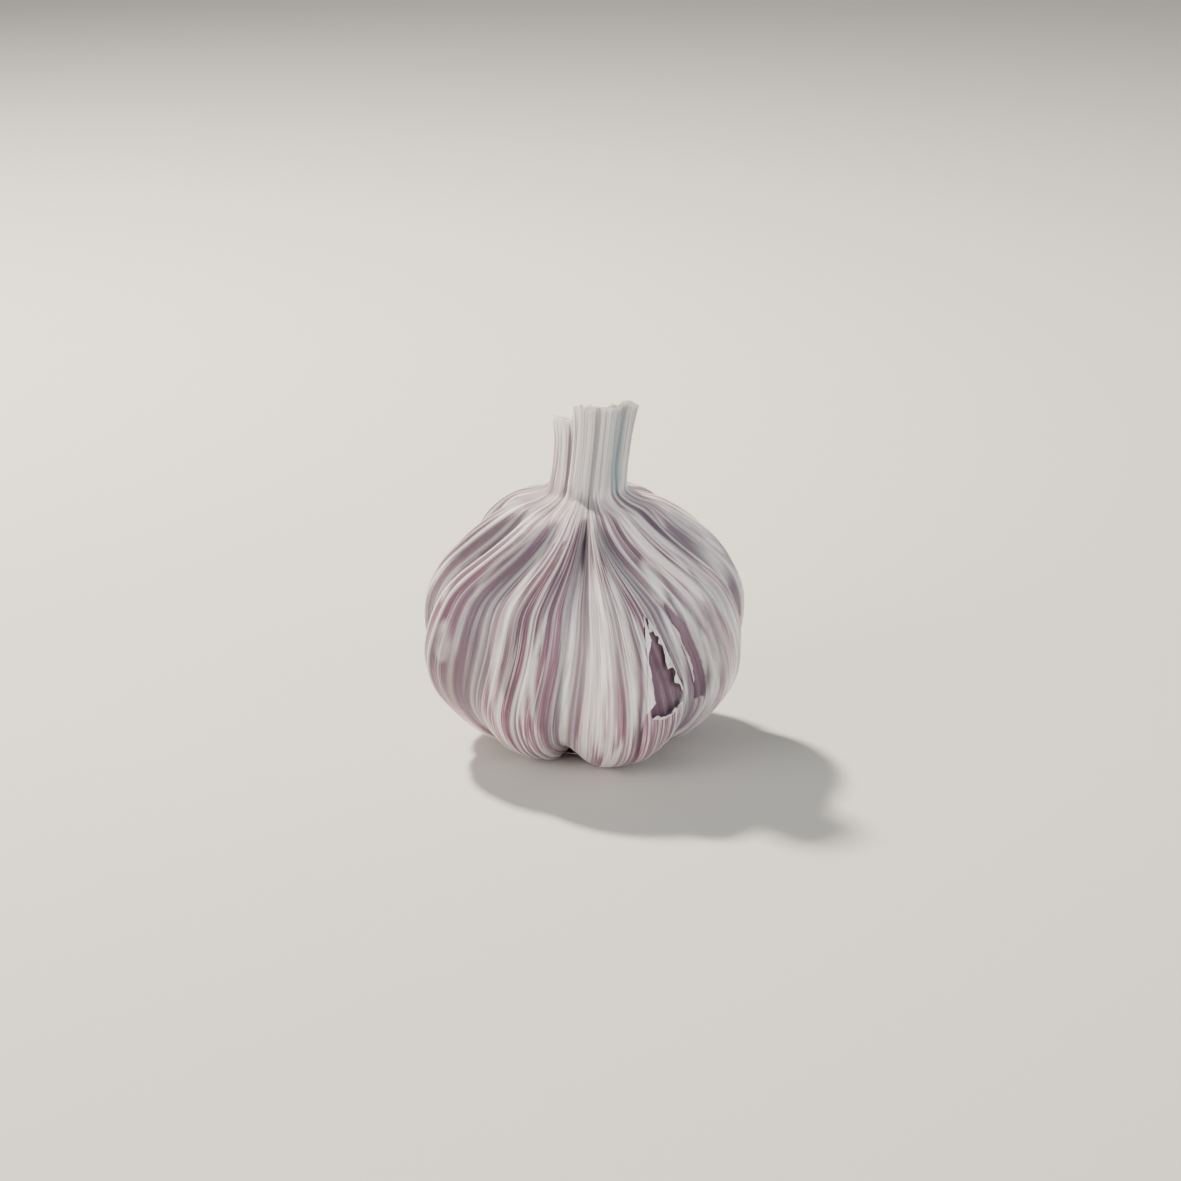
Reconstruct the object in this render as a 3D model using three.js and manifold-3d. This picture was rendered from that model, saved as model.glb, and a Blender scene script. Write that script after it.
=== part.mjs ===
// A garlic bulb, in millimetres, +Z up. The origin lies on the surface that the bulb rests on, under
// its middle. Azimuths are in degrees: 0 faces -Y and they grow toward +X.
import * as THREE from "three";
import Module from "manifold-3d";
import { mergeVertices } from "three/addons/utils/BufferGeometryUtils.js";

const gap = 0.3; // clearance between neighbouring pieces
const neckRibs = 32; // fine pleats round the neck, each of which forks into two veins on the body
const columns = 4 * neckRibs;
const outlineRings = 30;

// The outer outline at the crest of the cloves, from the resting plane to the cut end: [radius, height].
const outline = [
  [12.8, 0],
  [16.4, 1.3],
  [19.9, 3.5],
  [22.9, 6.8],
  [25.7, 11.5],
  [27.4, 17],
  [27.8, 22],
  [27.2, 26.5],
  [25.0, 31.4],
  [21.4, 36.1],
  [17.0, 40.2],
  [12.6, 42.9],
  [8.7, 44.0],
  [6.6, 45.2],
  [6.1, 47.4],
  [6.0, 51.5],
  [6.2, 55],
  [6.8, 58.1],
];
const [neckRadius, neckTop] = outline[outline.length - 1];
const restRadius = 10.6; // inner edge of the flat that each clove rests on
const recessRadius = 8.4; // the hollow among the feet of the cloves, which holds the root plate
const recessHeight = 6.6;
const neckWall = 0.8;
const socketDepth = 10; // how far the roll of inner sheaths reaches down into the neck
const neckLean = 1.8; // how far the cut end stands off the axis, toward +X

// One entry for each clove, in order of azimuth. groove is where the furrow on its lower azimuth side
// starts at the base, and lean how far that furrow has turned by the height "by". foot, belly and shoulder
// are how far the clove stands out past the outline at those heights.
const cloves = [
  { groove: -60, lean: 20, by: 26, foot: -1.2, belly: 0.2, shoulder: 0 },
  { groove: -13, lean: 9, by: 30, foot: 1.1, belly: 0.4, shoulder: 0 },
  { groove: 55, lean: -27, by: 34, foot: -1.6, belly: 0.1, shoulder: 0 },
  { groove: 100, lean: -15, by: 30, foot: -1, belly: 0.2, shoulder: 0.2 },
  { groove: 136, lean: -4, by: 30, foot: 0.4, belly: 0.2, shoulder: 0.7 },
  { groove: 167, lean: -3, by: 30, foot: 0, belly: 0, shoulder: 0.4 },
  { groove: 200, lean: 4, by: 30, foot: 0.5, belly: 0.3, shoulder: -0.3 },
  { groove: 238, lean: 5, by: 30, foot: -1.2, belly: -0.6, shoulder: -0.8 },
  { groove: 268, lean: 14, by: 30, foot: -1.4, belly: 1.1, shoulder: -0.6 },
];
const gather = 24; // how far the furrows at the sides swing toward the front as they reach the neck
const furrowRounding = 0.16; // share of half a clove over which the bottom of a furrow is round
const furrowSharpness = 2.3;
const footArch = 2.6; // how far the skin rises between two feet

const veinHeight = 0.4;
const forkedVeinHeight = 0.3;
const neckPleat = 0.22;
const outerSheathEdge = -30; // azimuth of the free edge of the sheath that wraps the neck
const outerSheathStep = 0.4;
const raggedness = 0.5; // of the cut end
const frontRise = 2.6; // how much higher the slanted cut leaves the sheath at the front
const neckHollow = { azimuth: 41, width: 15, depth: 0.75 }; // the fold pressed into the neck

const sheathWall = 0.8;
const sheathSlit = 0.4;
const sheathTear = 2.4; // how far the rolled sheaths are torn down on their -X side
const sheathSlant = 0.2; // rise of their cut toward the front, per millimetre

const rootStubs = 52;
const stubRadius = 0.42;
const stubLength = 1.8;
const stubSunk = 0.8;

const goldenAngle = Math.PI * (3 - Math.sqrt(5));
const wrap = (degrees) => ((degrees % 360) + 360) % 360;
const ramp = (x, from, to) => THREE.MathUtils.smoothstep(x, from, to);
const hill = (x, middle, width) => Math.exp(-(((x - middle) / width) ** 2));

// A repeatable random draw from 0 to 1.
function draw(seed) {
  const x = Math.sin(seed * 12.9898) * 43758.5453;
  return x - Math.floor(x);
}

// The clove under an azimuth, and how near its furrow that is: 0 on the crest, 1 in the furrow.
function cloveAt(azimuth, height) {
  const gathered = gather * ramp(height, 29, 44);
  const turned = ({ groove, lean, by }) =>
    groove + lean * ramp(height, 0, by) - gathered * Math.sin(THREE.MathUtils.degToRad(groove));
  const climb = (t) => Math.hypot(t, furrowRounding) - furrowRounding;
  for (let i = 0; i < cloves.length; i++) {
    const from = turned(cloves[i]);
    const to = turned(cloves[(i + 1) % cloves.length]);
    const span = wrap(to - from);
    const past = wrap(azimuth - from);
    if (past > span) continue;
    const inward = 1 - Math.abs((2 * past) / span - 1);
    return { clove: cloves[i], furrow: (1 - climb(inward) / climb(1)) ** furrowSharpness };
  }
}

// Depth of the furrows: deepest under the cloves, shallower at the belly, gone at the neck.
const furrowDepth = (height) =>
  (2.7 + 1.3 * (1 - ramp(height, 0, 12)) + 1.9 * hill(height, 36, 5.5)) * (1 - ramp(height, 39, 46));

// How far a clove stands out past the outline on its crest.
const swellOf = ({ foot, belly, shoulder }, height) =>
  foot * hill(height, 1, 8) + belly * hill(height, 19, 9) + shoulder * hill(height, 34, 7);

// Height of the veins on the body and the pleats on the neck, one column of the mesh at a time.
function veinRelief(column, height) {
  const onNeck = ramp(height, 40, 47);
  const strength = 0.6 + 0.8 * draw(column + 1);
  if (column % 4 === 0) return strength * THREE.MathUtils.lerp(veinHeight, neckPleat, onNeck);
  if (column % 4 === 2) return strength * forkedVeinHeight * (1 - onNeck) - neckPleat * onNeck;
  return 0;
}

// The outermost sheath of the neck: it ends in a step and thins to nothing on its way round.
const sheathRelief = (azimuth, height) =>
  outerSheathStep * (1 - wrap(azimuth - outerSheathEdge) / 360) * ramp(height, 44, 48);

// How far the fold in the neck is pressed in.
function hollowAt(azimuth, radius, height) {
  const within = ramp(height, 45, 51) * ramp(radius, 2, 5);
  return within * neckHollow.depth * hill(azimuth, neckHollow.azimuth, neckHollow.width);
}

// The cut end: highest at the front, as far as the free edge of the sheath, and lowest at the back left.
const rimRise = (azimuth, column) =>
  frontRise * ramp(wrap(azimuth + 180), 141, 149) * (1 - ramp(wrap(azimuth + 180), 228, 270)) +
  1.2 * hill(wrap(azimuth), 85, 30) -
  2.2 * hill(wrap(azimuth), 225, 42) +
  raggedness * (draw(7 * column + 3) - 0.5);

const middleOffset = (height) => neckLean * ramp(height, 38, 61);

function bare(geometry) {
  geometry.deleteAttribute("normal");
  geometry.deleteAttribute("uv");
  return mergeVertices(geometry, 1e-4);
}

// A lathed profile whose points are moved by place(point, azimuth, column), which gives a radius and height.
function lathed(profile, segments, place) {
  const flat = profile.map(({ radius, height }) => new THREE.Vector2(radius, height));
  const geometry = new THREE.LatheGeometry(flat, segments);
  const position = geometry.getAttribute("position");
  for (let i = 0; i < position.count; i++) {
    const point = profile[i % profile.length];
    const column = Math.floor(i / profile.length) % segments;
    const azimuth = (360 * column) / segments;
    const { radius, height } = point.radius === 0 ? point : place(point, azimuth, column);
    const angle = THREE.MathUtils.degToRad(azimuth);
    position.setXYZ(i, radius * Math.sin(angle) + middleOffset(height), -radius * Math.cos(angle), height);
  }
  return bare(geometry);
}

const zoned = (zone, points) => points.map(([radius, height]) => ({ radius, height, zone }));

// The body and the neck: one skin drawn over nine cloves and gathered round the leaf sheaths.
function bulbGeometry() {
  const curve = new THREE.CatmullRomCurve3(outline.map(([r, z]) => new THREE.Vector3(r, z, 0)));
  const recess = [
    [0, recessHeight],
    [recessRadius, recessHeight],
    [recessRadius + 0.3, 3],
  ];
  const feet = [
    [restRadius - 1, 0.8],
    [restRadius, 0],
  ];
  const [rim, ...socket] = [0, 0.05, 0.45, 1].map((t) => [
    neckRadius - neckWall - 0.7 * t,
    neckTop - socketDepth * t,
  ]);
  const profile = [
    ...zoned("recess", recess),
    ...zoned("feet", feet),
    ...zoned("skin", curve.getSpacedPoints(outlineRings).map((p) => [p.x, p.y])),
    ...zoned("rim", [rim]),
    ...zoned("socket", [...socket, [0, neckTop - socketDepth]]),
  ];

  return lathed(profile, columns, ({ radius, height, zone }, azimuth, column) => {
    const inward = hollowAt(azimuth, radius, height);
    if (zone === "recess" || zone === "socket") return { radius: radius - inward, height };
    if (zone === "rim") return { radius: radius - inward, height: height + rimRise(azimuth, column) };
    const { clove, furrow } = cloveAt(azimuth, height);
    const reach = zone === "feet" ? ramp(radius, recessRadius, outline[0][0]) : 1;
    const stand = swellOf(clove, height) * (1 - furrow) - furrowDepth(height) * furrow;
    const arch = footArch * Math.max(0, furrow - 0.15) * (1 - ramp(height, 0, 7));
    const relief = zone === "skin" ? veinRelief(column, height) + sheathRelief(azimuth, height) : 0;
    return {
      radius: radius + reach * stand + relief - inward,
      height: height + arch + rimRise(azimuth, column) * ramp(height, 50, neckTop),
    };
  });
}

// The inner leaf sheaths rolled up in the neck: nested rings with open slits between them.
function innerSheathsGeometry() {
  const outer = neckRadius - neckWall - gap;
  const bottom = neckTop - socketDepth + gap;
  const rim = neckTop + 0.3;
  const slit = rim - 1.5;
  const pitch = sheathWall + sheathSlit + 0.4;
  const ring = (from, top) => [
    [from, top],
    [from - sheathWall, top],
    [from - sheathWall - 0.2, slit],
    [from - sheathWall - 0.2 - sheathSlit, slit],
  ];
  const core = [
    [outer - 2 * pitch, rim - 0.1],
    [0.7, rim - 0.3],
    [0, rim - 1],
  ];
  const profile = [
    ...zoned("bottom", [
      [0, bottom],
      [outer - 0.75, bottom],
    ]),
    ...zoned("outer", [[outer - 0.35, neckTop - socketDepth / 2], ...ring(outer, rim)]),
    ...zoned("middle", ring(outer - pitch, rim + 0.2)),
    ...zoned("core", core),
  ];
  const seeds = { outer: 0, middle: 40, core: 80 };

  return lathed(profile, 2 * neckRibs, ({ radius, height, zone }, azimuth, column) => {
    if (zone === "bottom") return { radius, height };
    const pleat = zone === "outer" ? neckPleat * (column % 2) : 0;
    const across = radius * Math.sin(THREE.MathUtils.degToRad(azimuth));
    const torn = sheathTear * (1 - ramp(across, -3.9, -2.9));
    const ragged = raggedness * (draw(column + seeds[zone]) - 0.5);
    const slanted = sheathSlant * radius * Math.cos(THREE.MathUtils.degToRad(azimuth));
    return {
      radius: radius - pleat - hollowAt(azimuth, radius, height),
      height: height + (ragged - torn + slanted) * ramp(height, slit - 4, slit),
    };
  });
}

// The basal plate with its trimmed root stubs, set in the hollow under the cloves.
function rootPlateGeometry(wasm) {
  const asSolid = (geometry) =>
    new wasm.Manifold(
      new wasm.Mesh({
        numProp: 3,
        vertProperties: geometry.getAttribute("position").array,
        triVerts: new Uint32Array(geometry.index.array),
      }),
    );
  const plateRadius = recessRadius - gap;
  const plateTop = recessHeight - gap;
  const profile = [
    [0, 2.9],
    [3.4, 3.1],
    [5.8, 3.6],
    [plateRadius - 0.3, 4.6],
    [plateRadius, plateTop],
    [0, plateTop],
  ].map(([r, z]) => new THREE.Vector2(r, z));
  let solid = asSolid(bare(new THREE.LatheGeometry(profile, 32).rotateX(Math.PI / 2)));
  for (let i = 0; i < rootStubs; i++) {
    const ring = Math.sqrt((i + 0.5) / rootStubs);
    const length = stubLength * (1 + 0.5 * draw(i + 11));
    const stub = new THREE.CylinderGeometry(stubRadius, 0.7 * stubRadius, length + stubSunk, 5)
      .rotateX(Math.PI / 2)
      .translate(0, 0, (stubSunk - length) / 2)
      .rotateY(-0.5 * ring * (0.3 + draw(i + 90)))
      .translate(5.6 * ring, 0, 2.9 + 0.9 * ring * ring)
      .rotateZ(i * goldenAngle);
    solid = solid.add(asSolid(bare(stub)));
  }
  const { vertProperties, triVerts } = solid.getMesh();
  return new THREE.BufferGeometry()
    .setAttribute("position", new THREE.BufferAttribute(vertProperties, 3))
    .setIndex(new THREE.BufferAttribute(triVerts, 1));
}

const wasm = await Module();
wasm.setup();

const skin = new THREE.MeshStandardMaterial({ color: 0xd6c7cf, roughness: 0.55, metalness: 0 });
const driedSheath = new THREE.MeshStandardMaterial({ color: 0xe6e2d8, roughness: 0.7, metalness: 0 });
const roots = new THREE.MeshStandardMaterial({ color: 0xb09a78, roughness: 0.9, metalness: 0 });

const garlic = new THREE.Group();
function addPiece(name, geometry, material) {
  const piece = new THREE.Mesh(geometry, material);
  piece.name = name;
  garlic.add(piece);
}
addPiece("bulb", bulbGeometry(), skin);
addPiece("inner_sheaths", innerSheathsGeometry(), driedSheath);
addPiece("root_plate", rootPlateGeometry(wasm), roots);

export default garlic;
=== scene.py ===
import functools
import math
import random

import bmesh
import bpy
import numpy
from mathutils import Matrix, Vector, geometry, noise


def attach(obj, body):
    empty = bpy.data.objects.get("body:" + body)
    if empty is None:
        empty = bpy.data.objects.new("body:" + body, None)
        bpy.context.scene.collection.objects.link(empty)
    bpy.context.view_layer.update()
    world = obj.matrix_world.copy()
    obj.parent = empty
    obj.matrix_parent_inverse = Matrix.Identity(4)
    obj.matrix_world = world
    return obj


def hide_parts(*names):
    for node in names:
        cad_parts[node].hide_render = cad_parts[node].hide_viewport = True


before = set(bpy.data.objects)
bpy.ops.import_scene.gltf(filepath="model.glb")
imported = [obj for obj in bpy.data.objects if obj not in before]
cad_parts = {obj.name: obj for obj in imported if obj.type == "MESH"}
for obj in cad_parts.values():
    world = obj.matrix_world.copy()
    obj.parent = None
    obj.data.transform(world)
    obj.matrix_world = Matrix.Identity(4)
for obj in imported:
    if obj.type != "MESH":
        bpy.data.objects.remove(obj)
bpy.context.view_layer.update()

# A garlic bulb with its papery skin, its cut neck and its root plate. Shapes are worked out in millimetres,
# +Z up. Azimuths are in degrees: 0 faces -Y and they grow toward +X.
mm = 0.001
bodyName = "root"
noise.seed_set(7)


def clamp(value, low=0, high=1):
    return min(max(value, low), high)


def ramp(value, start, end):
    part = clamp((value - start) / (end - start))
    return part * part * (3 - 2 * part)


def hill(value, middle, width):
    return math.exp(-(((value - middle) / width) ** 2))


def mix(first, second, part):
    return first + (second - first) * part


def turnFrom(start, azimuth):
    return (azimuth - start + 180) % 360 - 180


def placeAt(azimuth, radius, height, shift=0):
    turn = math.radians(azimuth)
    return Vector((radius * math.sin(turn) + shift, -radius * math.cos(turn), height))


def alongLine(points, part):
    # The point a part of the way along a row of points, counted by their number.
    place = clamp(part) * (len(points) - 1)
    step = min(int(place), len(points) - 2)
    return [mix(a, b, place - step) for a, b in zip(points[step], points[step + 1])]


def throughPoints(points, count):
    # A smooth line through the points, cut into count equal lengths.
    line = [Vector(p) for p in points]
    line = [2 * line[0] - line[1], *line, 2 * line[-1] - line[-2]]
    fine = []
    for a, b, c, d in zip(line, line[1:], line[2:], line[3:]):
        ab, bc, cd = ((q - p).length ** 0.5 for p, q in ((a, b), (b, c), (c, d)))
        leave = (b - a) / ab - (c - a) / (ab + bc) + (c - b) / bc
        arrive = (c - b) / bc - (d - b) / (bc + cd) + (d - c) / cd
        fine += geometry.interpolate_bezier(b, b + leave * bc / 3, c - arrive * bc / 3, c, 24)[:-1]
    fine.append(line[-2])
    reached = [0]
    for p, q in zip(fine, fine[1:]):
        reached.append(reached[-1] + (q - p).length)
    even, step = [], 0
    for i in range(count + 1):
        goal = reached[-1] * i / count
        while step < len(fine) - 2 and reached[step + 1] < goal:
            step += 1
        part = (goal - reached[step]) / (reached[step + 1] - reached[step])
        even.append(fine[step].lerp(fine[step + 1], part))
    return even


# The whole bulb. The outline is [radius, height] at the crest of the cloves, from the resting plane to the cut end,
# in millimetres like every other length here.
bulbShape = {
    "outline": [
        (12.8, 0), (16.4, 1.3), (19.9, 3.5), (22.9, 6.8), (25.7, 11.5), (27.4, 17), (27.8, 22), (27.2, 26.5),
        (25.0, 31.4), (21.4, 36.1), (17.0, 40.2), (12.6, 42.9), (8.7, 44.0), (6.6, 45.2), (6.1, 47.4), (6.0, 51.5),
        (6.2, 55), (6.8, 58.1),
    ],
    "rings": 156,
    "steps": 464,
    "recess": (8.4, 6.6),  # radius and height of the hollow that holds the root plate
    "restRadius": 10.6,
    "socketDepth": 10,
    "neckWall": 0.45,
    "neckLean": 1.8,
    # For each clove: the azimuth where the furrow on its lower side starts, how far it has turned by a height, that
    # height, and how far the clove stands out at its foot, belly and shoulder.
    "cloves": [dict(zip(("groove", "lean", "by", "foot", "belly", "shoulder"), row)) for row in (
        (-60, 20, 26, -1.2, 0.2, 0), (-13, 9, 30, 1.1, 0.4, 0), (55, -27, 34, -1.6, 0.1, 0),
        (100, -15, 30, -1, 0.2, 0.2), (136, -4, 30, 0.4, 0.2, 0.7), (167, -3, 30, 0, 0, 0.4),
        (200, 4, 30, 0.5, 0.3, -0.3), (238, 5, 30, -1.2, -0.6, -0.8), (268, 14, 30, -1.4, 1.1, -0.6))],
    "gather": (24, 29, 44),  # how far the fibres at the sides swing toward the front, between these heights
    "pleatsFrom": (41, 47),  # heights between which the veins of the body give way to the pleats of the neck
    "neckFrom": (43, 48),  # heights between which the body turns into the neck
    "furrowDepths": (2.7, 1.3, 1.9),  # on the belly, and what the foot and the shoulder add
    "furrowsEnd": (39, 46),  # heights between which they fade
    "furrowRounding": 0.16,
    "furrowSharpness": 2.3,
    "footArch": 2.6,
    "sheathEdge": -33,  # azimuth of the free edge of the sheath that wraps the neck
    "sheathStep": 0.55,
    "neckHollow": (41, 15, 0.75, 45, 51),  # azimuth, half width, depth and heights of the fold in the neck
    "raggedness": 0.5,
    "frontRise": 2.6,  # how much higher the slanted cut leaves the sheath at the front
    "rimHigh": (1.2, 85, 30),  # how much higher or lower the rim stands, azimuth and half width
    "rimLow": (-2.2, 225, 42),
    "highest": 61.1,
    "mmPerDegree": 0.47,  # round the body, and round the neck
    "neckMmPerDegree": 0.11,
}
neckRadius, neckTop = bulbShape["outline"][-1]
skinLine = throughPoints([(r, h, 0) for r, h in bulbShape["outline"]], bulbShape["rings"])
skinLength = sum((q - p).length for p, q in zip(skinLine, skinLine[1:]))


@functools.lru_cache(maxsize=None)
def outlineAt(height):
    # Radius, distance along the skin and outward direction of the outline at a height.
    step = next((i for i, p in enumerate(skinLine[1:]) if p.y >= height), len(skinLine) - 2)
    low, high = skinLine[step], skinLine[step + 1]
    part = clamp((height - low.y) / max(high.y - low.y, 1e-6))
    slope = (high - low).normalized()
    return mix(low.x, high.x, part), (step + part) * skinLength / bulbShape["rings"], slope.y, -slope.x


def grooveOf(clove, height):
    swing, start, end = bulbShape["gather"]
    gathered = swing * ramp(height, start, end) * math.sin(math.radians(clove["groove"]))
    return clove["groove"] + clove["lean"] * ramp(height, 0, clove["by"]) - gathered


def cloveSpans(height):
    # Each clove with where it starts and how far it reaches, at a height and at the base.
    cloves = bulbShape["cloves"]
    for clove, after in zip(cloves, cloves[1:] + cloves[:1]):
        start = grooveOf(clove, height)
        yield clove, start, (grooveOf(after, height) - start) % 360, (after["groove"] - clove["groove"]) % 360


def cloveAt(azimuth, height):
    # The clove under an azimuth, how near its furrow that is (1 in the furrow), and the azimuth at the base
    # that the same fibre of the skin comes from.
    rounding = bulbShape["furrowRounding"]
    full = math.hypot(1, rounding) - rounding
    for clove, start, span, baseSpan in cloveSpans(height):
        past = (azimuth - start) % 360
        if past <= span:
            inward = 1 - abs(2 * past / span - 1)
            furrow = (1 - (math.hypot(inward, rounding) - rounding) / full) ** bulbShape["furrowSharpness"]
            return clove, furrow, clove["groove"] + past / span * baseSpan


def fibreTo(fibre, height):
    # The azimuth that a fibre of the skin has reached at a height.
    for clove, start, span, baseSpan in cloveSpans(height):
        past = (fibre - clove["groove"]) % 360
        if past <= baseSpan:
            return start + past / baseSpan * span


def furrowDepth(height):
    belly, foot, shoulder = bulbShape["furrowDepths"]
    depth = belly + foot * (1 - ramp(height, 0, 12)) + shoulder * hill(height, 36, 5.5)
    return depth * (1 - ramp(height, *bulbShape["furrowsEnd"]))


def swellOf(clove, height):
    return (clove["foot"] * hill(height, 1, 8) + clove["belly"] * hill(height, 19, 9)
            + clove["shoulder"] * hill(height, 34, 7))


def flowPoint(fibre, along, radius=28):
    # A place in the space that the noises and the material read: round the bulb by fibre, and along the fibre.
    return placeAt(fibre, radius, along)


def stretched(point, across, along, shift=0):
    return noise.noise(Vector((point.x * across + shift, point.y * across, point.z * along + shift)))


# Veins of the skin and pleats of the neck, unevenly spaced: [azimuth, height, half width].
random.seed(12)
veinStep, pleatStep = 360 / 64, 360 / 32
veins = [(veinStep * i + random.uniform(-1.9, 1.9), 0.05 + 0.26 * random.random() ** 1.6,
          random.uniform(0.24, 0.5)) for i in range(64)]
pleats = [(pleatStep * i + random.uniform(-3.2, 3.2), random.uniform(0.06, 0.3), random.uniform(0.3, 0.6))
          for i in range(32)]
# Folds of the neck: azimuth and depth.
creases = [(-47, 0.3), (-33, 0.42), (-17, 0.34), (4, 0.2), (31, 0.3), (47, 0.34), (61, 0.3), (97, 0.3), (140, 0.4),
           (171, 0.25), (214, 0.35), (259, 0.3), (291, 0.25)]
creaseWidth = 0.24


def veinRelief(azimuth, fibre, height, radius):
    # The relief of the veins on the body or the pleats on the neck, and how much of a vein shows here.
    onNeck = ramp(height, *bulbShape["pleatsFrom"])
    relief = shown = 0
    if onNeck < 1:
        spread = math.radians(1) * max(radius, 9)
        nearest = int(fibre // veinStep)
        for i in range(nearest - 1, nearest + 3):
            at, high, wide = veins[i % len(veins)]
            away = abs(turnFrom(at, fibre)) * spread
            ridge = math.exp(-((away / wide) ** 2)) + 0.35 * math.exp(-((away / (3.4 * wide)) ** 2))
            relief += high * ridge * (1 - onNeck)
            shown = max(shown, high / 0.3 * math.exp(-((away / (0.8 * wide)) ** 2)) * (1 - onNeck))
    if onNeck > 0:
        nearest = int(azimuth // pleatStep)
        for i in range(nearest - 1, nearest + 3):
            at, high, wide = pleats[i % len(pleats)]
            away = abs(turnFrom(at, azimuth)) * bulbShape["neckMmPerDegree"]
            ridge = math.exp(-((away / wide) ** 2))
            relief += high * ridge * onNeck
            shown = max(shown, 0.5 * ridge * onNeck)
        for at, deep in creases:
            away = abs(turnFrom(at, azimuth)) * bulbShape["neckMmPerDegree"]
            if away < 1:
                relief -= deep * onNeck * math.exp(-((away / creaseWidth) ** 2))
    return relief, shown


def wrinkleRelief(point, height):
    # Ripples of the dry skin that run along its fibres, and folds gathered into the neck.
    onNeck = ramp(height, *bulbShape["pleatsFrom"])
    ripple = 0.34 * stretched(point, 0.13, 0.03) + 0.17 * stretched(point, 0.34, 0.06, 4)
    ripple += 0.07 * stretched(point, 0.9, 0.16, 9)
    fold = 0.3 * stretched(point, 0.075, 0.03, 15) + 0.14 * stretched(point, 0.2, 0.05, 21)
    return mix(ripple, fold, onNeck)


# Places where the outermost skin has torn away, as [azimuth, height] outlines; deep is how far the layer below lies.
tornMargin = 1.6  # further than this outside an outline, nothing is changed
tornPlaces = [
    {"deep": 0.42, "outline": [
        (23, 29.6), (26, 28.4), (29, 26.2), (32, 23.6), (34, 21), (38, 18.4), (41, 16.2), (41, 13.4),
        (36, 12.2), (31, 11.6), (25, 12.4), (22.4, 16), (21.6, 20), (21.8, 24), (21.4, 27)]},
    {"deep": 0.26, "outline": [
        (34, 31), (37, 29.5), (41, 26), (45, 21.8), (50, 17), (53, 13.2), (50, 12.6), (46.4, 16), (42.5, 19.8),
        (38.6, 23.6), (35.8, 27)]},
    {"deep": 0.34, "outline": [
        (150, 40.6), (154.6, 35.6), (158.6, 32.4), (162, 27.6), (166, 24.6), (170.6, 21), (174, 16.6),
        (178.4, 13), (183.6, 11), (186, 12.6), (189, 17.4), (186.6, 21.6), (185.6, 26), (187.4, 31),
        (184, 34.8), (176, 37), (168, 39.6), (159, 40)]},
    {"deep": 0.3, "outline": [
        (-128, 33), (-121, 27), (-116, 19), (-108, 11), (-104, 15), (-108, 23), (-112, 30), (-120, 36)]},
    {"deep": 0.3, "outline": [
        (82, 29.6), (84.4, 25), (87, 21.4), (91.6, 16), (95, 12), (98.4, 8.4), (100.6, 7.4), (102, 9.4),
        (102.8, 12.6), (100.8, 17), (97, 20.6), (92, 23.6), (86.6, 26.6)]},
]


def insideTorn(place, azimuth, height):
    # Distance in millimetres inside the outline of a torn place, less than 0 outside it.
    points = [(turnFrom(azimuth, a) * bulbShape["mmPerDegree"], h - height) for a, h in place["outline"]]
    if min(x for x, y in points) > tornMargin or max(x for x, y in points) < -tornMargin:
        return -9
    nearest, inside = 99, False
    for (ax, ay), (bx, by) in zip(points, points[1:] + points[:1]):
        dx, dy = bx - ax, by - ay
        part = clamp(-(ax * dx + ay * dy) / (dx * dx + dy * dy))
        nearest = min(nearest, math.hypot(ax + part * dx, ay + part * dy))
        if (ay > 0) != (by > 0) and ax - ay * dx / dy > 0:
            inside = not inside
    return nearest if inside else -nearest


def tornAt(azimuth, height, point):
    # How bare the skin is, and how deep below the outermost layer it lies.
    for place in tornPlaces:
        middle, heights = place["outline"][0], [h for a, h in place["outline"]]
        if (abs(turnFrom(middle[0], azimuth)) > 50
                or not min(heights) - tornMargin < height < max(heights) + tornMargin):
            continue
        inside = insideTorn(place, azimuth, height)
        if inside > -1.2:
            inside += 0.35 * stretched(point, 0.5, 0.35, 31) + 0.16 * stretched(point, 1.6, 1.1, 37)
            bare = ramp(inside, -0.12, 0.14)
            if bare > 0:
                return bare, place["deep"]
    return 0, 0


def rimRise(azimuth, point):
    # How much higher the cut end stands at an azimuth: the slant of the cut, its high and low parts, its fraying.
    turn = (azimuth + 180) % 360
    front = bulbShape["frontRise"] * ramp(turn, 144, 148) * (1 - ramp(turn, 228, 270))
    ragged = (1.7 * stretched(point, 0.1, 0, 44) + 0.6 * stretched(point, 0.22, 0, 41)
              + 0.35 * stretched(point, 0.6, 0, 47))
    rise, at, wide = bulbShape["rimHigh"]
    fall, low, broad = bulbShape["rimLow"]
    return (front + rise * hill(azimuth % 360, at, wide) + fall * hill(azimuth % 360, low, broad)
            + bulbShape["raggedness"] * ragged)


def middleOffset(height):
    return bulbShape["neckLean"] * ramp(height, 38, 61)


def neckHollow(azimuth, height):
    at, wide, deep, start, end = bulbShape["neckHollow"]
    return deep * hill(turnFrom(at, azimuth), 0, wide) * ramp(height, start, end)


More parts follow.
